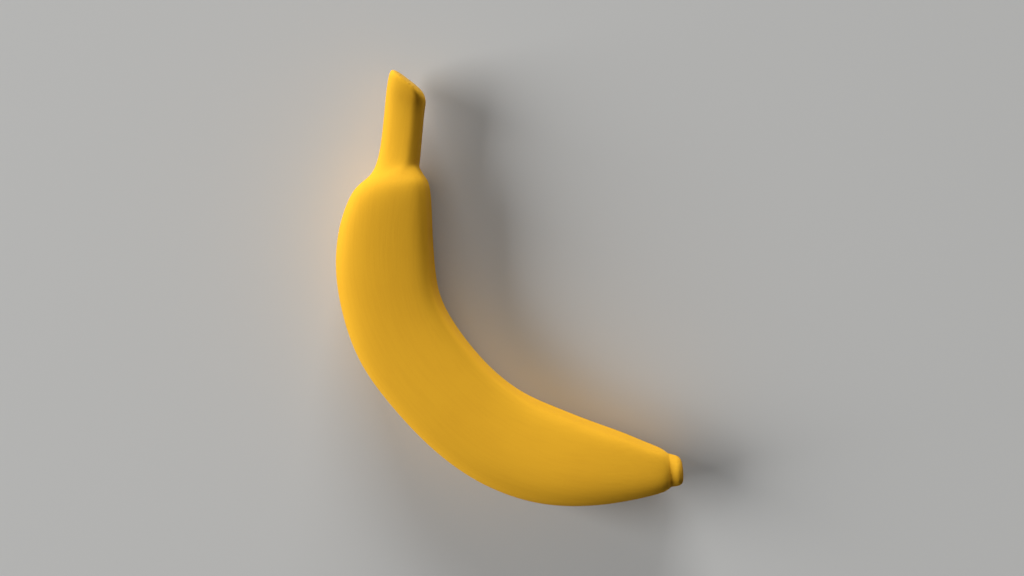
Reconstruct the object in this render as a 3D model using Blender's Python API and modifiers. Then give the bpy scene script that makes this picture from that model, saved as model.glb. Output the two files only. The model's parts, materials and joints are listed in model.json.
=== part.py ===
"""A banana as picked, lying on its side with the plane of its bend level.

+X runs toward the blossom end, +Y toward the cut end of the stem, and +Z is up. The origin lies on
the surface that carries the fruit, under the middle of its outline seen from above.
"""

import math
from typing import NamedTuple

import bmesh
import bpy
import numpy as np

MM = 0.001

# Driving sizes, in millimetres.
BODY_HALF_DEPTH = 15.2  # half of the body's height where it is almost even
PRESSED_DEPTH = 0.5  # how far the fruit's own weight has flattened its underside
CUT_SLANT = 30.0  # degrees between the cut across the stem and a square cut
SHOULDER_SLANT = -28.0  # the shoulder starts lower on the outside of the bend
TIP_SLANT = -6.0  # and the blossom end is a little longer there

# The middle line of the fruit in the plane of its bend, from the stem's cut end to the blossom end.
SPINE_POINTS = (
    (-35.0, 72.6),
    (-36.9, 58.0),
    (-37.8, 46.0),
    (-41.4, 35.5),
    (-43.4, 14.0),
    (-41.8, -8.6),
    (-32.1, -24.9),
    (-19.8, -39.8),
    (-3.5, -52.8),
    (16.0, -59.8),
    (38.0, -62.8),
    (62.0, -64.0),
)
SPINE_STEPS = 40  # samples between two of those points

# Half of each cross-section, from the inside of the bend round to its outside. The first number of a
# pair is across the fruit and is positive toward the inside, the second is up; the half-width and
# the half-depth are both 1. The other half mirrors it.
BODY_SECTION = (
    (1.00, 0.00),
    (1.01, 0.51),
    (0.96, 0.82),
    (0.51, 0.94),
    (-0.20, 1.04),
    (-0.84, 0.98),
    (-1.04, 0.58),
    (-1.05, 0.00),
)
STEM_SECTION = (
    (1.02, 0.00),
    (1.00, 0.40),
    (0.92, 0.76),
    (0.68, 1.00),
    (0.36, 1.07),
    (-0.62, 1.06),
    (-1.02, 0.72),
    (-1.06, 0.00),
)
STUB_SECTION = (
    (1.04, 0.00),
    (0.99, 0.42),
    (0.82, 0.80),
    (0.38, 1.02),
    (-0.26, 1.05),
    (-0.84, 0.93),
    (-1.03, 0.50),
    (-1.05, 0.00),
)


class Station(NamedTuple):
    """One ring of the cage: its place along the spine, its size and the form of its section."""

    along: float
    half_width: float
    half_depth: float
    section: tuple
    slant: float = 0.0
    crease: float = 0.0


# Sizes along the spine, in millimetres, from the stem's cut end to the blossom end.
STATIONS = (
    # The cut face and its rounded rim.
    Station(0.0, 3.0, 5.2, STEM_SECTION, CUT_SLANT),
    Station(0.5, 5.1, 8.5, STEM_SECTION, CUT_SLANT),
    Station(1.5, 6.0, 9.3, STEM_SECTION, CUT_SLANT),
    # The stem, which is thicker toward the cut and toward the shoulder.
    Station(3.0, 6.5, 9.4, STEM_SECTION, 27.0),
    Station(6.0, 6.7, 8.5, STEM_SECTION, 14.0),
    Station(9.5, 6.6, 7.6, STEM_SECTION, 3.0),
    Station(18.5, 6.6, 7.7, STEM_SECTION),
    Station(28.5, 6.6, 8.5, STEM_SECTION, 0.5 * SHOULDER_SLANT),
    Station(32.5, 6.4, 9.7, STEM_SECTION, 1.3 * SHOULDER_SLANT),
    # The shoulder, where it opens into the body.
    Station(35.8, 10.1, 13.1, BODY_SECTION, 0.8 * SHOULDER_SLANT),
    Station(39.3, 12.6, 14.8, BODY_SECTION, 0.7 * SHOULDER_SLANT),
    Station(47.0, 14.5, BODY_HALF_DEPTH, BODY_SECTION, 0.5 * SHOULDER_SLANT),
    Station(57.0, 15.8, BODY_HALF_DEPTH, BODY_SECTION),
    # The body, almost even in girth.
    Station(71.0, 16.8, BODY_HALF_DEPTH, BODY_SECTION),
    Station(89.0, 16.9, BODY_HALF_DEPTH, BODY_SECTION),
    Station(107.0, 16.4, BODY_HALF_DEPTH, BODY_SECTION),
    Station(125.0, 16.4, BODY_HALF_DEPTH, BODY_SECTION),
    Station(142.0, 16.6, BODY_HALF_DEPTH, BODY_SECTION),
    Station(159.0, 16.3, BODY_HALF_DEPTH, BODY_SECTION),
    # The taper to the blossom end.
    Station(173.0, 14.0, 14.7, BODY_SECTION),
    Station(185.0, 11.5, 13.4, BODY_SECTION),
    Station(195.0, 8.5, 11.6, BODY_SECTION, TIP_SLANT),
    Station(200.3, 6.9, 10.0, BODY_SECTION, TIP_SLANT),
    Station(202.0, 6.1, 8.7, STUB_SECTION, TIP_SLANT),
    # The stub of the flower, which starts at a crisp line.
    Station(202.8, 5.4, 7.5, STUB_SECTION, TIP_SLANT, 1.0),
    Station(205.3, 4.9, 7.9, STUB_SECTION, TIP_SLANT),
    Station(206.9, 4.3, 6.8, STUB_SECTION, TIP_SLANT),
    Station(207.5, 2.6, 4.0, STUB_SECTION, TIP_SLANT),
)

SUBDIVISION_LEVELS = 2

PEEL_COLOUR = (0.85, 0.44, 0.03, 1.0)
PEEL_ROUGHNESS = 0.6


def clear_scene():
    for obj in list(bpy.data.objects):
        bpy.data.objects.remove(obj, do_unlink=True)


def spine_samples():
    """Close-set points of the smooth curve through SPINE_POINTS, and their distances along it."""
    points = np.array(SPINE_POINTS)
    slopes = np.gradient(points, axis=0)
    samples = []
    for start, end, start_slope, end_slope in zip(points, points[1:], slopes, slopes[1:]):
        t = np.linspace(0.0, 1.0, SPINE_STEPS, endpoint=False)[:, None]
        samples.append(
            (2 * t**3 - 3 * t**2 + 1) * start
            + (t**3 - 2 * t**2 + t) * start_slope
            + (3 * t**2 - 2 * t**3) * end
            + (t**3 - t**2) * end_slope
        )
    samples = np.vstack([*samples, points[-1]])
    steps = np.linalg.norm(np.diff(samples, axis=0), axis=1)
    return samples, np.concatenate([[0.0], np.cumsum(steps)])


def spine_frame(samples, distances, along):
    """The spine's point at a distance along it, with its direction and the inward side's direction."""
    point = np.array([np.interp(along, distances, samples[:, axis]) for axis in (0, 1)])
    tangents = np.gradient(samples, distances, axis=0)
    forward = np.array([np.interp(along, distances, tangents[:, axis]) for axis in (0, 1)])
    forward /= np.linalg.norm(forward)
    inward = np.array([-forward[1], forward[0]])
    return point, forward, inward


def whole_section(half):
    """The mirrored section: the given half, then its points below the plane of the bend."""
    return (*half, *((across, -up) for across, up in half[-2:0:-1]))


def ring_points(station, point, forward, inward):
    """A station's ring, in metres, leaning along the spine by its slant."""
    lean = math.tan(math.radians(station.slant))
    ring = []
    for across, up in whole_section(station.section):
        offset = across * station.half_width
        place = point + offset * inward + offset * lean * forward
        ring.append((place[0] * MM, place[1] * MM, up * station.half_depth * MM))
    return ring


def add_cage(name):
    """The coarse closed cage: rings lofted along the spine, with a face across each end."""
    cage = bmesh.new()
    crease_layer = cage.edges.layers.float.new("crease_edge")
    samples, distances = spine_samples()
    rings = []
    for station in STATIONS:
        point, forward, inward = spine_frame(samples, distances, station.along)
        rings.append([cage.verts.new(p) for p in ring_points(station, point, forward, inward)])
    for near, far in zip(rings, rings[1:]):
        for i in range(len(near)):
            j = (i + 1) % len(near)
            cage.faces.new((near[i], near[j], far[j], far[i]))
    cage.faces.new(reversed(rings[0]))
    cage.faces.new(rings[-1])
    for station, ring in zip(STATIONS, rings):
        for i in range(len(ring)):
            edge = cage.edges.get((ring[i], ring[(i + 1) % len(ring)]))
            edge[crease_layer] = station.crease
    bmesh.ops.recalc_face_normals(cage, faces=cage.faces)
    mesh = bpy.data.meshes.new(name)
    cage.to_mesh(mesh)
    cage.free()
    return bpy.data.objects.new(name, mesh)


def smooth_cage(obj):
    """Rounds the cage and keeps the result as the object's own mesh."""
    rounding = obj.modifiers.new("rounding", "SUBSURF")
    rounding.levels = SUBDIVISION_LEVELS
    rounding.render_levels = SUBDIVISION_LEVELS
    bpy.context.view_layer.update()
    evaluated = obj.evaluated_get(bpy.context.evaluated_depsgraph_get())
    smooth = bpy.data.meshes.new_from_object(evaluated)
    obj.modifiers.clear()
    cage_mesh = obj.data
    obj.data = smooth
    bpy.data.meshes.remove(cage_mesh)
    smooth.name = obj.name


def lay_down(mesh):
    """Puts the fruit on the plane z = 0 over the origin, with its underside pressed flat."""
    points = np.empty(len(mesh.vertices) * 3)
    mesh.vertices.foreach_get("co", points)
    points = points.reshape(-1, 3)
    lowest, highest = points.min(axis=0), points.max(axis=0)
    points[:, :2] -= (lowest[:2] + highest[:2]) / 2
    points[:, 2] -= lowest[2] + PRESSED_DEPTH * MM
    points[:, 2] = np.maximum(points[:, 2], 0.0)
    mesh.vertices.foreach_set("co", points.ravel())
    mesh.update()


def peel_material():
    material = bpy.data.materials.new("peel")
    material.use_nodes = True
    shader = material.node_tree.nodes["Principled BSDF"]
    shader.inputs["Base Color"].default_value = PEEL_COLOUR
    shader.inputs["Roughness"].default_value = PEEL_ROUGHNESS
    shader.inputs["Metallic"].default_value = 0.0
    return material


def main():
    clear_scene()
    collection = bpy.data.collections.new("banana")
    bpy.context.scene.collection.children.link(collection)
    banana = add_cage("banana")
    collection.objects.link(banana)
    smooth_cage(banana)
    lay_down(banana.data)
    banana.data.materials.append(peel_material())
    banana.data.shade_smooth()


main()
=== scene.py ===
"""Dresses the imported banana: one grown skin from stem to flower stub, a pale floor, soft light and a camera.

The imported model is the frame. +X runs toward the blossom end, +Y toward the cut end of the stem, and +Z is
up. The fruit lies on its side on z = 0 with the plane of its bend level, and the camera looks down on it.
"""

import json
import logging
import math
from dataclasses import dataclass, field
from enum import Enum

import bpy
import numpy as np
from mathutils import Matrix, Vector

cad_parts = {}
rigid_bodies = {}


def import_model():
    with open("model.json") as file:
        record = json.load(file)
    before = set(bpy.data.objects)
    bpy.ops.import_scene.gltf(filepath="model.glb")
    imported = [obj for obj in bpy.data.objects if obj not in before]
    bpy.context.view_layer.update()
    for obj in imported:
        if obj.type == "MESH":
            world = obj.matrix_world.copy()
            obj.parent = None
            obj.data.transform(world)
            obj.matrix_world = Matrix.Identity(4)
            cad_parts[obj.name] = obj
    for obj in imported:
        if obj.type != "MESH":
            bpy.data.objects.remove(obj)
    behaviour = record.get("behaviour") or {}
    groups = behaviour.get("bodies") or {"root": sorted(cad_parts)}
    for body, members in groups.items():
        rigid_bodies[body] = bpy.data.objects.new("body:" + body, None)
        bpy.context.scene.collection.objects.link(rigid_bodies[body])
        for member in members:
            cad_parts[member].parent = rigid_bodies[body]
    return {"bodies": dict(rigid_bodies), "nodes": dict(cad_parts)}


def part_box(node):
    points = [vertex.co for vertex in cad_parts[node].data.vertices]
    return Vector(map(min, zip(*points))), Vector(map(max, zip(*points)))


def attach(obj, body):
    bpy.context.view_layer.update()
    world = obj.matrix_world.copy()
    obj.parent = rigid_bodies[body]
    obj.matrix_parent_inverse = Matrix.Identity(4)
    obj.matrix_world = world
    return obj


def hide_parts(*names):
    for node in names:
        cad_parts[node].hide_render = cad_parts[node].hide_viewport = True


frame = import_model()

LOG = logging.getLogger("banana")

MM = 0.001
NODE = "banana"
BODY = "root"

Colour = tuple[float, float, float, float]
Plane = tuple[float, float]
Place = tuple[float, float, float]
Value = bpy.types.NodeSocket | float | int | str | tuple[float, ...] | bpy.types.ID


class Form(Enum):
    """The forms of cross-section, as half a ring from the inside of the bend round to its outside.

    The first number of a pair is across the fruit and positive toward the inside of the bend, the second is
    up. The half-width and the half-depth are both 1, and the other half of the ring mirrors this one.
    """

    BODY = (
        (1.00, 0.00),
        (1.01, 0.51),
        (0.96, 0.82),
        (0.51, 0.94),
        (-0.20, 1.04),
        (-0.84, 0.98),
        (-1.04, 0.58),
        (-1.05, 0.00),
    )
    STEM = (
        (1.02, 0.00),
        (1.00, 0.40),
        (0.92, 0.76),
        (0.68, 1.00),
        (0.36, 1.07),
        (-0.62, 1.06),
        (-1.02, 0.72),
        (-1.06, 0.00),
    )
    STUB = (
        (1.04, 0.00),
        (0.99, 0.42),
        (0.82, 0.80),
        (0.38, 1.02),
        (-0.26, 1.05),
        (-0.84, 0.93),
        (-1.03, 0.50),
        (-1.05, 0.00),
    )

    def ring(self) -> list[Plane]:
        """The whole ring: the given half, then its points below the plane of the bend."""
        half = list(self.value)
        return half + [(across, -up) for across, up in half[-2:0:-1]]


RING_POINTS = len(Form.BODY.ring())


@dataclass(frozen=True)
class Station:
    """One ring of the fruit's cage, in millimetres.

    Args:
        along: Distance from the stem's cut end along the spine.
        half_width: Half of the width there, in the plane of the bend.
        half_depth: Half of the height there.
        form: The form of the cross-section.
        slant: Degrees by which the ring leans from square to the spine.
        crease: 1 where the skin folds at a crisp line, else 0.
        cut: Share of the cut face's look, from 0 to 1.
        scar: Share of the flower scar's look, from 0 to 1.
    """

    along: float
    half_width: float
    half_depth: float
    form: Form
    slant: float = 0.0
    crease: float = 0.0
    cut: float = 0.0
    scar: float = 0.0


@dataclass(frozen=True)
class Spine:
    """The middle line of the fruit in the plane of its bend, from the stem's cut end, in millimetres.

    Args:
        points: What the line passes through.
        steps: Number of samples between two of those points.
    """

    points: tuple[Plane, ...] = (
        (-35.0, 72.6),
        (-36.9, 58.0),
        (-37.8, 46.0),
        (-41.4, 35.5),
        (-43.4, 14.0),
        (-41.8, -8.6),
        (-32.1, -24.9),
        (-19.8, -39.8),
        (-3.5, -52.8),
        (16.0, -59.8),
        (38.0, -62.8),
        (62.0, -64.0),
    )
    steps: int = 40

    def samples(self) -> tuple[np.ndarray, np.ndarray]:
        """Walks the smooth curve through the points.

        Returns:
            Close-set points of the curve, and their distances along it.
        """
        points = np.array(self.points)
        slopes = np.gradient(points, axis=0)
        samples = []
        for start, end, start_slope, end_slope in zip(points, points[1:], slopes, slopes[1:]):
            t = np.linspace(0.0, 1.0, self.steps, endpoint=False)[:, None]
            samples.append(
                (2 * t**3 - 3 * t**2 + 1) * start
                + (t**3 - 2 * t**2 + t) * start_slope
                + (3 * t**2 - 2 * t**3) * end
                + (t**3 - t**2) * end_slope
            )
        walked = np.vstack([*samples, points[-1]])
        lengths = np.linalg.norm(np.diff(walked, axis=0), axis=1)
        return walked, np.concatenate([[0.0], np.cumsum(lengths)])

    def at(self, along: float) -> tuple[np.ndarray, np.ndarray]:
        """Finds the spine's point and its direction.

        Args:
            along: Distance from the stem's cut end.

        Returns:
            The point, and the unit direction toward the blossom end.
        """
        walked, distances = self.samples()
        tangents = np.gradient(walked, distances, axis=0)
        point = np.array([np.interp(along, distances, walked[:, axis]) for axis in (0, 1)])
        forward = np.array([np.interp(along, distances, tangents[:, axis]) for axis in (0, 1)])
        return point, forward / np.linalg.norm(forward)


class Tree:
    """Adds nodes to a node tree and joins them, so that a formula reads as a call."""

    def __init__(self, tree: bpy.types.NodeTree) -> None:
        """Keeps the tree that the nodes go into.

        Args:
            tree: The node tree to build.
        """
        self.tree = tree

    def node(
        self, kind: str, inputs: dict[str | int, Value] | None = None, **settings: str | bool
    ) -> bpy.types.Node:
        """Adds a node.

        Args:
            kind: The node's type.
            inputs: What each input is joined to or set to.
            **settings: The node's own settings.

        Returns:
            The node.
        """
        made = self.tree.nodes.new(kind)
        for name, setting in settings.items():
            setattr(made, name, setting)
        for key, value in (inputs or {}).items():
            self.feed(made.inputs[key], value)
        return made

    def feed(self, socket: bpy.types.NodeSocket, value: Value) -> None:
        """Joins or sets one input.

        Args:
            socket: The input.
            value: Another node's output, or a plain value.
        """
        if isinstance(value, bpy.types.NodeSocket):
            self.tree.links.new(value, socket)
        else:
            socket.default_value = value

    def math(self, operation: str, *values: Value) -> bpy.types.NodeSocket:
        """The result of a number formula on its values."""
        return self.node("ShaderNodeMath", dict(enumerate(values)), operation=operation).outputs[0]

    def vector(self, operation: str, *values: Value) -> bpy.types.NodeSocket:
        """The result of a vector formula on its values."""
        return self.node("ShaderNodeVectorMath", dict(enumerate(values)), operation=operation).outputs[0]

    def scaled(self, vector: Value, scale: Value) -> bpy.types.NodeSocket:
        """A vector times a number."""
        sockets = {"Vector": vector, "Scale": scale}
        return self.node("ShaderNodeVectorMath", sockets, operation="SCALE").outputs[0]

    def combined(self, x: Value, y: Value, z: Value) -> bpy.types.NodeSocket:
        """A vector made of three numbers."""
        return self.node("ShaderNodeCombineXYZ", {"X": x, "Y": y, "Z": z}).outputs[0]

    def split(self, vector: Value) -> bpy.types.bpy_prop_collection:
        """The three numbers of a vector."""
        return self.node("ShaderNodeSeparateXYZ", {0: vector}).outputs

    def mixed(self, share: Value, first: Value, second: Value) -> bpy.types.NodeSocket:
        """A colour between two, by a share from 0 to 1."""
        mix = self.node("ShaderNodeMix", {0: share, 6: first, 7: second}, data_type="RGBA", clamp_factor=True)
        return mix.outputs[2]


def add_socket(tree: bpy.types.NodeTree, name: str, kind: str, way: str = "INPUT") -> str:
    """Adds a named input or output to a node group.

    Args:
        tree: The group.
        name: The socket's name.
        kind: The socket's type, such as NodeSocketFloat.
        way: INPUT or OUTPUT.

    Returns:
        The socket's identifier.
    """
    return tree.interface.new_socket(name=name, in_out=way, socket_type=kind).identifier


class Sweep:
    """The Geometry Nodes tree that lofts the skin over its stations, rounds it and presses it flat below."""

    FIELDS = {
        "Ring Points": "NodeSocketInt",
        "Templates": "NodeSocketObject",
        "Rounding": "NodeSocketInt",
        "Middle Height": "NodeSocketFloat",
        "Swell Depth": "NodeSocketFloat",
        "Swell Width": "NodeSocketFloat",
        "Swell Length": "NodeSocketFloat",
        "Seed": "NodeSocketFloat",
        "Peel": "NodeSocketMaterial",
        "Cut Face": "NodeSocketMaterial",
        "Flower Scar": "NodeSocketMaterial",
    }
    WELD = 1e-6  # metres
    LEAST_CREASE = 0.9  # from here on the skin folds
    LEAST_MASK = 0.02  # from here on a region has its own finish

    def __init__(self) -> None:
        """Makes the tree with its named inputs, then its nodes."""
        self.tree = bpy.data.node_groups.new("fruit_sweep", "GeometryNodeTree")
        add_socket(self.tree, "Stations", "NodeSocketGeometry")
        self.identifiers = {name: add_socket(self.tree, name, kind) for name, kind in self.FIELDS.items()}
        add_socket(self.tree, "Fruit", "NodeSocketGeometry", "OUTPUT")
        self.make = Tree(self.tree)
        self.inputs = self.make.node("NodeGroupInput").outputs
        self.build()

    def sampled(self, source: Value, value: Value, index: Value, kind: str = "FLOAT") -> bpy.types.NodeSocket:
        """Reads a value of one point of another geometry.

        Args:
            source: The geometry that holds the value.
            value: The field to read there.
            index: Which of its points.
            kind: FLOAT or FLOAT_VECTOR.

        Returns:
            The value.
        """
        sockets = {"Geometry": source, "Value": value, "Index": index}
        return self.make.node("GeometryNodeSampleIndex", sockets, data_type=kind, domain="POINT").outputs[0]

    def named(self, name: str, kind: str = "FLOAT") -> bpy.types.NodeSocket:
        """A named value that the points carry."""
        return self.make.node("GeometryNodeInputNamedAttribute", {"Name": name}, data_type=kind).outputs[0]

    def stored(self, geometry: Value, name: str, value: Value, kind: str = "FLOAT") -> bpy.types.NodeSocket:
        """Gives every point a named value.

        Args:
            geometry: The geometry whose points get it.
            name: The value's name.
            value: The value as a field.
            kind: FLOAT or FLOAT_VECTOR.

        Returns:
            The geometry with the value.
        """
        sockets = {"Geometry": geometry, "Name": name, "Value": value}
        store = self.make.node("GeometryNodeStoreNamedAttribute", sockets, data_type=kind, domain="POINT")
        return store.outputs[0]

    def cage(self) -> bpy.types.NodeSocket:
        """Lofts the open cage and closes its seam and ends.

        Returns:
            The closed cage, whose points carry their place on the straightened fruit.
        """
        make, inputs = self.make, self.inputs
        stations = inputs["Stations"]
        count = make.node("GeometryNodeAttributeDomainSize", {"Geometry": stations}).outputs["Point Count"]
        columns = make.math("ADD", inputs["Ring Points"], 1)
        grid = make.node("GeometryNodeMeshGrid", {"Vertices X": count, "Vertices Y": columns}).outputs["Mesh"]
        index = make.node("GeometryNodeInputIndex").outputs[0]
        station = make.math("FLOOR", make.math("DIVIDE", make.math("ADD", index, 0.5), columns))
        spoke = make.math("MODULO", make.math("MODULO", index, columns), inputs["Ring Points"])

        def read(name: str, kind: str = "FLOAT") -> bpy.types.NodeSocket:
            """A value of this point's station."""
            return self.sampled(stations, self.named(name, kind), station, kind)

        templates = make.node("GeometryNodeObjectInfo", {"Object": inputs["Templates"]}).outputs["Geometry"]
        corner = make.math("ADD", make.math("MULTIPLY", read("form"), inputs["Ring Points"]), spoke)
        place = make.node("GeometryNodeInputPosition").outputs[0]
        template = self.sampled(templates, place, corner, "FLOAT_VECTOR")
        parts = make.split(template)
        across = make.math("MULTIPLY", parts[0], read("half_width"))
        up = make.math("MULTIPLY", parts[1], read("half_depth"))
        lean = make.math("MULTIPLY", across, read("lean"))
        spine_point = self.sampled(stations, place, station, "FLOAT_VECTOR")
        sideways = make.scaled(read("inward", "FLOAT_VECTOR"), across)
        onward = make.scaled(read("forward", "FLOAT_VECTOR"), lean)
        risen = make.vector("ADD", spine_point, make.combined(0.0, 0.0, up))
        target = make.vector("ADD", make.vector("ADD", risen, sideways), onward)
        straight = make.combined(across, up, make.math("ADD", read("along"), lean))

        skin = make.node("GeometryNodeSetPosition", {"Geometry": grid, "Position": target}).outputs[0]
        skin = self.stored(skin, "straight", straight, "FLOAT_VECTOR")
        for name in ("crease", "cut", "scar"):
            skin = self.stored(skin, name, read(name))
        return make.node("GeometryNodeMergeByDistance", {"Geometry": skin, "Distance": self.WELD}).outputs[0]

    def swell(self) -> bpy.types.NodeSocket:
        """Makes the slight unevenness of a grown skin.

        Returns:
            The offset of each point, along its normal.
        """
        make, inputs = self.make, self.inputs
        parts = make.split(self.named("straight", "FLOAT_VECTOR"))
        wide = [make.math("DIVIDE", parts[axis], inputs["Swell Width"]) for axis in (0, 1)]
        spot = make.combined(*wide, make.math("DIVIDE", parts[2], inputs["Swell Length"]))
        sockets = {"Vector": spot, "W": inputs["Seed"], "Scale": 1.0, "Detail": 1.0}
        noise = make.node("ShaderNodeTexNoise", sockets, noise_dimensions="4D").outputs[0]
        depth = make.math("MULTIPLY", make.math("SUBTRACT", noise, 0.5), inputs["Swell Depth"])
        return make.scaled(make.node("GeometryNodeInputNormal").outputs[0], depth)

    def build(self) -> None:
        """Rounds the cage, lays it down, presses its underside flat and dresses it."""
        make, inputs = self.make, self.inputs
        crisp = make.math("GREATER_THAN", self.named("crease"), self.LEAST_CREASE)
        sockets = {"Mesh": self.cage(), "Level": inputs["Rounding"], "Edge Crease": crisp}
        skin = make.node("GeometryNodeSubdivisionSurface", sockets).outputs[0]
        lifted = make.combined(0.0, 0.0, inputs["Middle Height"])
        offset = make.vector("ADD", lifted, self.swell())
        skin = make.node("GeometryNodeSetPosition", {"Geometry": skin, "Offset": offset}).outputs[0]
        parts = make.split(make.node("GeometryNodeInputPosition").outputs[0])
        pressed = make.combined(parts[0], parts[1], make.math("MAXIMUM", parts[2], 0.0))
        skin = make.node("GeometryNodeSetPosition", {"Geometry": skin, "Position": pressed}).outputs[0]
        skin = make.node("GeometryNodeSetShadeSmooth", {"Geometry": skin, "Shade Smooth": True}).outputs[0]
        skin = make.node("GeometryNodeRealizeInstances", {"Geometry": skin}).outputs[0]
        skin = make.node("GeometryNodeSetMaterial", {"Geometry": skin, "Material": inputs["Peel"]}).outputs[0]
        for name, mask in (("Cut Face", "cut"), ("Flower Scar", "scar")):
            chosen = make.math("GREATER_THAN", self.named(mask), self.LEAST_MASK)
            sockets = {"Geometry": skin, "Selection": chosen, "Material": inputs[name]}
            skin = make.node("GeometryNodeSetMaterial", sockets).outputs[0]
        make.node("NodeGroupOutput", {0: skin})

    def run(self, rail: bpy.types.Object, values: dict[str, Value]) -> bpy.types.Mesh:
        """Runs the tree on a line of stations.

        Args:
            rail: The object that holds the stations.
            values: The value of each named input.

        Returns:
            The finished skin as a plain mesh.
        """
        modifier = rail.modifiers.new("sweep", "NODES")
        modifier.node_group = self.tree
        for name, value in values.items():
            modifier[self.identifiers[name]] = value
        bpy.context.view_layer.update()
        evaluated = rail.evaluated_get(bpy.context.evaluated_depsgraph_get())
        mesh = bpy.data.meshes.new_from_object(evaluated)
        rail.modifiers.clear()
        return mesh


class PeelTone:
    """The shader group for the skin's colour: broad patches and fine fibres that run the fruit's length."""

    DETAIL = 2.0
    PATCH_RAMP = (0.35, 0.75)
    FIBRE_RAMP = (0.40, 0.70)
    ROUGHNESS_SWING = 0.12

    def __init__(self) -> None:
        """Makes the group with its named inputs and outputs."""
        self.tree = bpy.data.node_groups.new("peel_tone", "ShaderNodeTree")
        add_socket(self.tree, "Place", "NodeSocketVector")
        add_socket(self.tree, "Colour", "NodeSocketColor")
        add_socket(self.tree, "Shade", "NodeSocketColor")
        for name in ("Patch Size", "Fibre Width", "Fibre Length", "Patchiness", "Fibre Contrast"):
            add_socket(self.tree, name, "NodeSocketFloat")
        add_socket(self.tree, "Roughness", "NodeSocketFloat")
        add_socket(self.tree, "Colour", "NodeSocketColor", "OUTPUT")
        add_socket(self.tree, "Roughness", "NodeSocketFloat", "OUTPUT")
        make = Tree(self.tree)
        inputs = make.node("NodeGroupInput").outputs
        patch = noise_at(make, inputs["Place"], inputs["Patch Size"], inputs["Patch Size"], self.DETAIL)
        fibre = noise_at(make, inputs["Place"], inputs["Fibre Width"], inputs["Fibre Length"], self.DETAIL)
        share = make.math(
            "ADD",
            make.math("MULTIPLY", ramped(make, patch, *self.PATCH_RAMP), inputs["Patchiness"]),
            make.math("MULTIPLY", ramped(make, fibre, *self.FIBRE_RAMP), inputs["Fibre Contrast"]),
        )
        uneven = make.math("MULTIPLY", make.math("SUBTRACT", patch, 0.5), self.ROUGHNESS_SWING)
        outputs = {"Colour": make.mixed(share, inputs["Colour"], inputs["Shade"])}
        outputs["Roughness"] = make.math("ADD", inputs["Roughness"], uneven)
        make.node("NodeGroupOutput", outputs)


class PeelRelief:
    """The shader group for the skin's relief: lengthwise fibres and fine pores, as a height from 0 to 1."""

    DETAIL = 1.0
    PORE_RAMP = (0.05, 0.45)

    def __init__(self) -> None:
        """Makes the group with its named inputs and output."""
        self.tree = bpy.data.node_groups.new("peel_relief", "ShaderNodeTree")
        add_socket(self.tree, "Place", "NodeSocketVector")
        for name in ("Fibre Width", "Fibre Length", "Pore Size", "Pore Share"):
            add_socket(self.tree, name, "NodeSocketFloat")
        add_socket(self.tree, "Height", "NodeSocketFloat", "OUTPUT")
        make = Tree(self.tree)
        inputs = make.node("NodeGroupInput").outputs
        fibre = noise_at(make, inputs["Place"], inputs["Fibre Width"], inputs["Fibre Length"], self.DETAIL)
        spot = make.scaled(inputs["Place"], make.math("DIVIDE", 1.0, inputs["Pore Size"]))
        cells = make.node("ShaderNodeTexVoronoi", {"Vector": spot, "Scale": 1.0}).outputs["Distance"]
        pore = ramped(make, cells, *self.PORE_RAMP)
        plain = make.math("SUBTRACT", 1.0, inputs["Pore Share"])
        fibrous = make.math("MULTIPLY", fibre, plain)
        porous = make.math("MULTIPLY", pore, inputs["Pore Share"])
        height = make.math("ADD", fibrous, porous)
        make.node("NodeGroupOutput", {"Height": height})


def noise_at(make: Tree, place: Value, width: Value, length: Value, detail: float) -> bpy.types.NodeSocket:
    """Noise whose grains have a size across the fruit and another along it.

    Args:
        make: The tree that the nodes go into.
        place: Place on the straightened fruit, in metres, whose Z runs along it.
        width: Size of a grain across, in metres.
        length: Size of a grain along, in metres.
        detail: How many finer layers the noise has.

    Returns:
        The noise, from 0 to 1.
    """
    parts = make.split(place)
    wide = [make.math("DIVIDE", parts[axis], width) for axis in (0, 1)]
    spot = make.combined(*wide, make.math("DIVIDE", parts[2], length))
    return make.node("ShaderNodeTexNoise", {"Vector": spot, "Scale": 1.0, "Detail": detail}).outputs[0]


def ramped(make: Tree, value: Value, low: float, high: float) -> bpy.types.NodeSocket:
    """Stretches a value, with soft ends.

    Args:
        make: The tree that the nodes go into.
        value: The value.
        low: What becomes 0.
        high: What becomes 1.

    Returns:
        The stretched value.
    """
    sockets = {"Value": value, "From Min": low, "From Max": high}
    return make.node("ShaderNodeMapRange", sockets, interpolation_type="SMOOTHSTEP").outputs[0]


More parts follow.
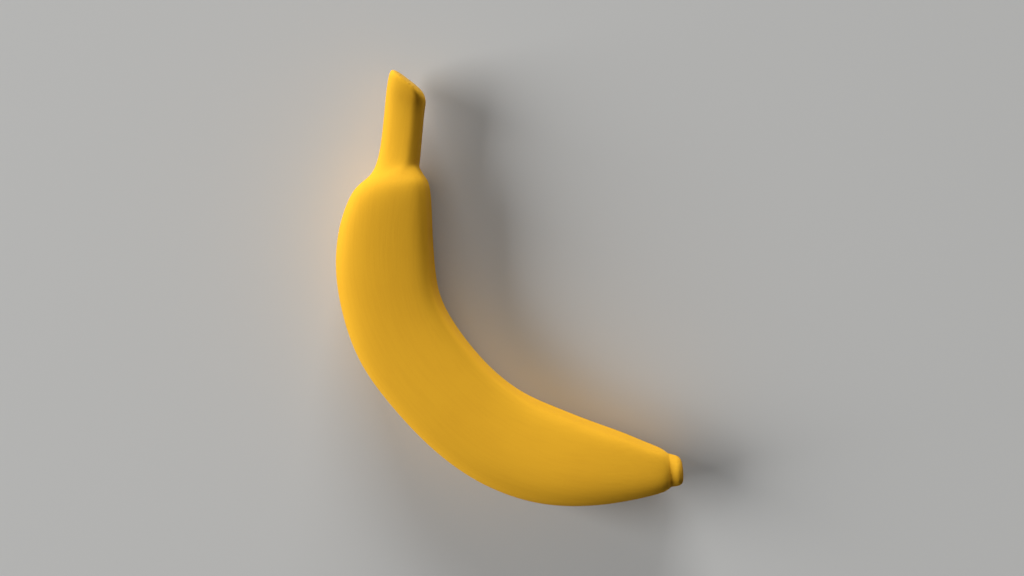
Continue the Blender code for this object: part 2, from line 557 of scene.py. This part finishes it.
@dataclass(frozen=True)
class PeelFinish:
    """The look of one region of the skin. Sizes are in metres.

    Args:
        name: The material's name.
        colour: The skin's colour.
        shade: The darker colour of its patches and fibres.
        roughness: How matte it is, from 0 to 1.
        specular: Strength of its reflections, from 0 to 1.
        patch_size: Size of the broad patches of colour.
        patchiness: How much of the shade the patches take, from 0 to 1.
        fibre_width: Width of a fibre.
        fibre_length: Length of a fibre.
        fibre_contrast: How much of the shade the fibres take, from 0 to 1.
        pore_size: Distance between pores.
        pore_share: How much of the relief is pores, from 0 to 1.
        relief: Depth of the relief.
        mask: The named value of the skin that is the region's mask, or none for the plain peel.
        region_colour: The colour that the region takes where its mask is full.
        region_shade: The region's colour down in its pores.
        dry_ramp: The heights of the relief where a region goes from its shade to its colour.
    """

    name: str
    colour: Colour = (0.85, 0.445, 0.027, 1.0)
    shade: Colour = (0.70, 0.335, 0.021, 1.0)
    roughness: float = 0.62
    specular: float = 0.015
    patch_size: float = 0.022
    patchiness: float = 0.14
    fibre_width: float = 0.0009
    fibre_length: float = 0.016
    fibre_contrast: float = 0.12
    pore_size: float = 0.0009
    pore_share: float = 0.35
    relief: float = 0.00003
    mask: str = ""
    region_colour: Colour = colour
    region_shade: Colour = shade
    dry_ramp: tuple[float, float] = (0.10, 0.85)

    def material(self, tone: PeelTone, relief: PeelRelief) -> bpy.types.Material:
        """Makes the material.

        Args:
            tone: The group for the colour.
            relief: The group for the relief.

        Returns:
            The material.
        """
        made = bpy.data.materials.new(self.name)
        made.use_nodes = True
        make = Tree(made.node_tree)
        shader = made.node_tree.nodes["Principled BSDF"]
        place = make.node("ShaderNodeAttribute", attribute_name="straight").outputs["Vector"]
        colours = {"Place": place, "Colour": self.colour, "Shade": self.shade, "Roughness": self.roughness}
        patches = {"Patch Size": self.patch_size, "Patchiness": self.patchiness}
        contrast = {"Fibre Contrast": self.fibre_contrast}
        fibres = {"Fibre Width": self.fibre_width, "Fibre Length": self.fibre_length}
        toned = self.grouped(make, tone.tree, colours | patches | contrast | fibres)
        pores = {"Place": place, "Pore Size": self.pore_size, "Pore Share": self.pore_share}
        raised = self.grouped(make, relief.tree, pores | fibres)
        colour = toned.outputs["Colour"]
        if self.mask:
            share = make.node("ShaderNodeAttribute", attribute_name=self.mask).outputs["Fac"]
            dry = ramped(make, raised.outputs["Height"], *self.dry_ramp)
            colour = make.mixed(share, colour, make.mixed(dry, self.region_shade, self.region_colour))
        make.feed(shader.inputs["Base Color"], colour)
        make.feed(shader.inputs["Roughness"], toned.outputs["Roughness"])
        bump = {"Strength": 1.0, "Distance": self.relief, "Height": raised.outputs["Height"]}
        make.feed(shader.inputs["Normal"], make.node("ShaderNodeBump", bump).outputs[0])
        shader.inputs["Specular IOR Level"].default_value = self.specular
        return made

    @staticmethod
    def grouped(make: Tree, tree: bpy.types.NodeTree, inputs: dict[str, Value]) -> bpy.types.Node:
        """Places a shader group and sets its inputs.

        Args:
            make: The material's tree.
            tree: The group.
            inputs: What each of its inputs is joined to or set to.

        Returns:
            The group's node.
        """
        placed = make.tree.nodes.new("ShaderNodeGroup")
        placed.node_tree = tree
        for name, value in inputs.items():
            make.feed(placed.inputs[name], value)
        return placed


@dataclass
class Fruit:
    """The whole banana: stem, body and the stub of the flower in one grown skin, in millimetres.

    Args:
        spine: Its middle line.
        body_half_depth: Half of the body's height where it is almost even.
        pressed_depth: How far its own weight has flattened its underside.
        cut_slant: Degrees between the cut across the stem and a square cut.
        shoulder_slant: Degrees by which the shoulder starts lower on the outside of the bend.
        tip_slant: Degrees by which the blossom end is longer there.
        rounding: How often the cage is halved into finer faces.
        swell_depth: Height of the skin's slight unevenness.
        swell_width: Size of that unevenness across the fruit.
        swell_length: Its size along the fruit.
        seed: Which unevenness it is.
    """

    spine: Spine = field(default_factory=Spine)
    body_half_depth: float = 15.2
    pressed_depth: float = 0.5
    cut_slant: float = 30.0
    shoulder_slant: float = -28.0
    tip_slant: float = -6.0
    rounding: int = 3
    swell_depth: float = 0.12
    swell_width: float = 9.0
    swell_length: float = 26.0
    seed: float = 4.0

    def stations(self) -> tuple[Station, ...]:
        """Lists the rings of the cage.

        Returns:
            The rings from the stem's cut end to the blossom end, with a point at each end.
        """
        cut, shoulder, tip = self.cut_slant, self.shoulder_slant, self.tip_slant
        depth = self.body_half_depth
        return (
            # The cut face and its rounded rim.
            Station(0.0, 0.0, 0.0, Form.STEM, cut, cut=1.0),
            Station(0.0, 3.0, 5.2, Form.STEM, cut, cut=1.0),
            Station(0.5, 5.1, 8.5, Form.STEM, cut, cut=0.6),
            Station(1.5, 6.0, 9.3, Form.STEM, cut),
            # The stem, which is thicker toward the cut and toward the shoulder.
            Station(3.0, 6.5, 9.4, Form.STEM, 27.0),
            Station(6.0, 6.7, 8.5, Form.STEM, 14.0),
            Station(9.5, 6.6, 7.6, Form.STEM, 3.0),
            Station(18.5, 6.6, 7.7, Form.STEM),
            Station(28.5, 6.6, 8.5, Form.STEM, 0.5 * shoulder),
            Station(32.5, 6.4, 9.7, Form.STEM, 1.3 * shoulder),
            # The shoulder, where it opens into the body.
            Station(35.8, 10.1, 13.1, Form.BODY, 0.8 * shoulder),
            Station(39.3, 12.6, 14.8, Form.BODY, 0.7 * shoulder),
            Station(47.0, 14.5, depth, Form.BODY, 0.5 * shoulder),
            Station(57.0, 15.8, depth, Form.BODY),
            # The body, almost even in girth.
            Station(71.0, 16.8, depth, Form.BODY),
            Station(89.0, 16.9, depth, Form.BODY),
            Station(107.0, 16.4, depth, Form.BODY),
            Station(125.0, 16.4, depth, Form.BODY),
            Station(142.0, 16.6, depth, Form.BODY),
            Station(159.0, 16.3, depth, Form.BODY),
            # The taper to the blossom end.
            Station(173.0, 14.0, 14.7, Form.BODY),
            Station(185.0, 11.5, 13.4, Form.BODY),
            Station(195.0, 8.5, 11.6, Form.BODY, tip),
            Station(200.3, 6.9, 10.0, Form.BODY, tip),
            Station(202.0, 6.1, 8.7, Form.STUB, tip),
            # The stub of the flower, which starts at a crisp line.
            Station(202.8, 5.4, 7.5, Form.STUB, tip, crease=1.0),
            Station(205.3, 4.9, 7.9, Form.STUB, tip),
            Station(206.9, 4.3, 6.8, Form.STUB, tip, scar=0.4),
            Station(207.5, 2.6, 4.0, Form.STUB, tip, scar=1.0),
            Station(207.5, 0.0, 0.0, Form.STUB, tip, scar=1.0),
        )

    def rail(self) -> bpy.types.Object:
        """Makes the line of stations.

        Returns:
            An object with one point for each station, which carries the station's sizes in metres.
        """
        stations = self.stations()
        forms = list(Form)
        points, forwards = zip(*(self.spine.at(station.along) for station in stations))
        mesh = bpy.data.meshes.new("stations")
        mesh.from_pydata([(x * MM, y * MM, 0.0) for x, y in points], [], [])
        rows: dict[str, list[float]] = {
            "along": [station.along * MM for station in stations],
            "half_width": [station.half_width * MM for station in stations],
            "half_depth": [station.half_depth * MM for station in stations],
            "lean": [math.tan(math.radians(station.slant)) for station in stations],
            "form": [float(forms.index(station.form)) for station in stations],
            "crease": [station.crease for station in stations],
            "cut": [station.cut for station in stations],
            "scar": [station.scar for station in stations],
        }
        for name, row in rows.items():
            mesh.attributes.new(name, "FLOAT", "POINT").data.foreach_set("value", row)
        directions: dict[str, list[Place]] = {
            "forward": [(x, y, 0.0) for x, y in forwards],
            "inward": [(-y, x, 0.0) for x, y in forwards],
        }
        for name, row in directions.items():
            mesh.attributes.new(name, "FLOAT_VECTOR", "POINT").data.foreach_set("vector", np.ravel(row))
        return linked("stations", mesh)

    def templates(self) -> bpy.types.Object:
        """Makes the rings of all forms of cross-section.

        Returns:
            An object whose points are the rings, one after another.
        """
        mesh = bpy.data.meshes.new("templates")
        mesh.from_pydata([(across, up, 0.0) for form in Form for across, up in form.ring()], [], [])
        return linked("templates", mesh)

    def build(self, box: tuple[Vector, Vector], finishes: dict[str, bpy.types.Material]) -> bpy.types.Object:
        """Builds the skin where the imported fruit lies.

        Args:
            box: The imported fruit's lowest and highest corners, in metres.
            finishes: The material for each region, by the name of the sweep's input.

        Returns:
            The finished piece.
        """
        low, high = box
        full_depth = high.z - low.z + self.pressed_depth * MM
        rail, templates = self.rail(), self.templates()
        values: dict[str, Value] = {
            "Ring Points": RING_POINTS,
            "Templates": templates,
            "Rounding": self.rounding,
            "Middle Height": full_depth / 2 - self.pressed_depth * MM,
            "Swell Depth": self.swell_depth * MM,
            "Swell Width": self.swell_width * MM,
            "Swell Length": self.swell_length * MM,
            "Seed": self.seed,
        }
        mesh = Sweep().run(rail, values | finishes)
        for helper in (rail, templates):
            bpy.data.objects.remove(helper, do_unlink=True)
        fruit = linked("fruit", mesh)
        corners = np.array([vertex.co for vertex in mesh.vertices])
        middle = (corners.min(axis=0) + corners.max(axis=0)) / 2
        shift = (low + high) / 2 - Vector(middle)
        mesh.transform(Matrix.Translation((shift.x, shift.y, 0.0)))
        return fruit


def linked(name: str, data: bpy.types.ID) -> bpy.types.Object:
    """Puts a new object in the scene.

    Args:
        name: Its name.
        data: The mesh, light or camera that it holds.

    Returns:
        The object.
    """
    made = bpy.data.objects.new(name, data)
    bpy.context.scene.collection.objects.link(made)
    return made


@dataclass(frozen=True)
class Softbox:
    """A square area light.

    Args:
        name: Its name.
        place: Where its middle is, in metres.
        target: What it faces.
        side: Its side, in metres.
        power: Its power, in watts.
    """

    name: str
    place: Place
    target: Place
    side: float
    power: float

    def build(self) -> None:
        """Makes the light and turns it to its target."""
        data = bpy.data.lights.new(self.name, "AREA")
        data.shape = "SQUARE"
        data.size = self.side
        data.energy = self.power
        light = linked(self.name, data)
        light.location = self.place
        aim = Vector(self.target) - Vector(self.place)
        light.rotation_euler = aim.to_track_quat("-Z", "Y").to_euler()


@dataclass
class Studio:
    """The pale floor, the soft light and the camera, in metres.

    Args:
        floor_side: The floor's side.
        floor_colour: Its colour.
        floor_roughness: How matte it is, from 0 to 1.
        sky: The even light from all round.
        lights: The area lights.
        lens: The camera's focal length, in millimetres.
        sensor: Its sensor's width, in millimetres.
        distance: From the camera to its target.
        target: What the camera looks at.
        tilt_right: Degrees by which it stands to the right of straight above.
        tilt_up: Degrees by which it stands toward the stem's end.
    """

    floor_side: float = 24.0
    floor_colour: Colour = (0.56, 0.56, 0.55, 1.0)
    floor_roughness: float = 0.9
    sky: Colour = (0.05, 0.05, 0.05, 1.0)
    lights: tuple[Softbox, ...] = (
        Softbox("key", (-6.90, 0.60, 3.60), (0.0, 0.0, 0.0), 5.1, 684.0),
        Softbox("top", (-0.30, 7.50, 1.98), (0.0, 0.0, 0.0), 4.2, 652.0),
    )
    lens: float = 50.0
    sensor: float = 36.0
    distance: float = 0.4978
    target: Place = (0.0006, 0.0, 0.0149)
    tilt_right: float = 2.5
    tilt_up: float = 3.0

    def floor(self) -> None:
        """Makes the floor that the fruit lies on."""
        half = self.floor_side / 2
        mesh = bpy.data.meshes.new("floor")
        corners = [(-half, -half, 0.0), (half, -half, 0.0), (half, half, 0.0), (-half, half, 0.0)]
        mesh.from_pydata(corners, [], [(0, 1, 2, 3)])
        floor = linked("floor", mesh)
        material = bpy.data.materials.new("floor")
        material.use_nodes = True
        shader = material.node_tree.nodes["Principled BSDF"]
        shader.inputs["Base Color"].default_value = self.floor_colour
        shader.inputs["Roughness"].default_value = self.floor_roughness
        mesh.materials.append(material)

    def world(self) -> None:
        """Sets the even light from all round."""
        world = bpy.data.worlds.new("studio")
        world.use_nodes = True
        world.node_tree.nodes["Background"].inputs["Color"].default_value = self.sky
        bpy.context.scene.world = world

    def camera(self) -> None:
        """Makes the camera, which looks down on the fruit with the stem's end at the top of the picture."""
        lean_right, lean_up = (math.tan(math.radians(tilt)) for tilt in (self.tilt_right, self.tilt_up))
        back = Vector((lean_right, lean_up, 1.0)).normalized()
        right = Vector((0.0, 1.0, 0.0)).cross(back).normalized()
        up = back.cross(right)
        data = bpy.data.cameras.new("camera")
        data.lens = self.lens
        data.sensor_width = self.sensor
        camera = linked("camera", data)
        turn = Matrix((right, up, back)).transposed().to_4x4()
        camera.matrix_world = Matrix.Translation(Vector(self.target) + back * self.distance) @ turn
        bpy.context.scene.camera = camera

    def build(self) -> None:
        """Sets up the floor, the light and the camera."""
        self.floor()
        self.world()
        for light in self.lights:
            light.build()
        self.camera()
        bpy.context.scene.view_settings.view_transform = "Standard"


def clear_startup() -> None:
    """Removes what Blender's startup scene holds, and leaves the frame alone."""
    kept = {*frame["bodies"].values(), *frame["nodes"].values()}
    for obj in list(bpy.data.objects):
        if obj not in kept:
            bpy.data.objects.remove(obj, do_unlink=True)


def main() -> None:
    """Builds the fruit and the studio."""
    logging.basicConfig(level=logging.INFO, format="%(name)s: %(message)s")
    clear_startup()
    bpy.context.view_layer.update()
    tone, relief = PeelTone(), PeelRelief()
    finishes = {
        "Peel": PeelFinish("peel"),
        "Cut Face": PeelFinish(
            "cut_face",
            roughness=0.8,
            mask="cut",
            region_colour=(0.62, 0.37, 0.09, 1.0),
            region_shade=(0.44, 0.24, 0.055, 1.0),
            pore_size=0.0014,
            pore_share=0.8,
            relief=0.00015,
        ),
        "Flower Scar": PeelFinish(
            "flower_scar",
            roughness=0.8,
            mask="scar",
            region_colour=(0.40, 0.19, 0.03, 1.0),
            region_shade=(0.22, 0.10, 0.02, 1.0),
            pore_size=0.0012,
            pore_share=0.7,
            relief=0.00012,
        ),
    }
    materials = {name: finish.material(tone, relief) for name, finish in finishes.items()}
    fruit = Fruit().build(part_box(NODE), materials)
    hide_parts(NODE)
    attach(fruit, BODY)
    LOG.info("fruit: %d faces, %s", len(fruit.data.polygons), [slot.name for slot in fruit.material_slots])
    Studio().build()
    LOG.info("studio: floor, lights, sky and camera")


if __name__ == "__main__":
    main()
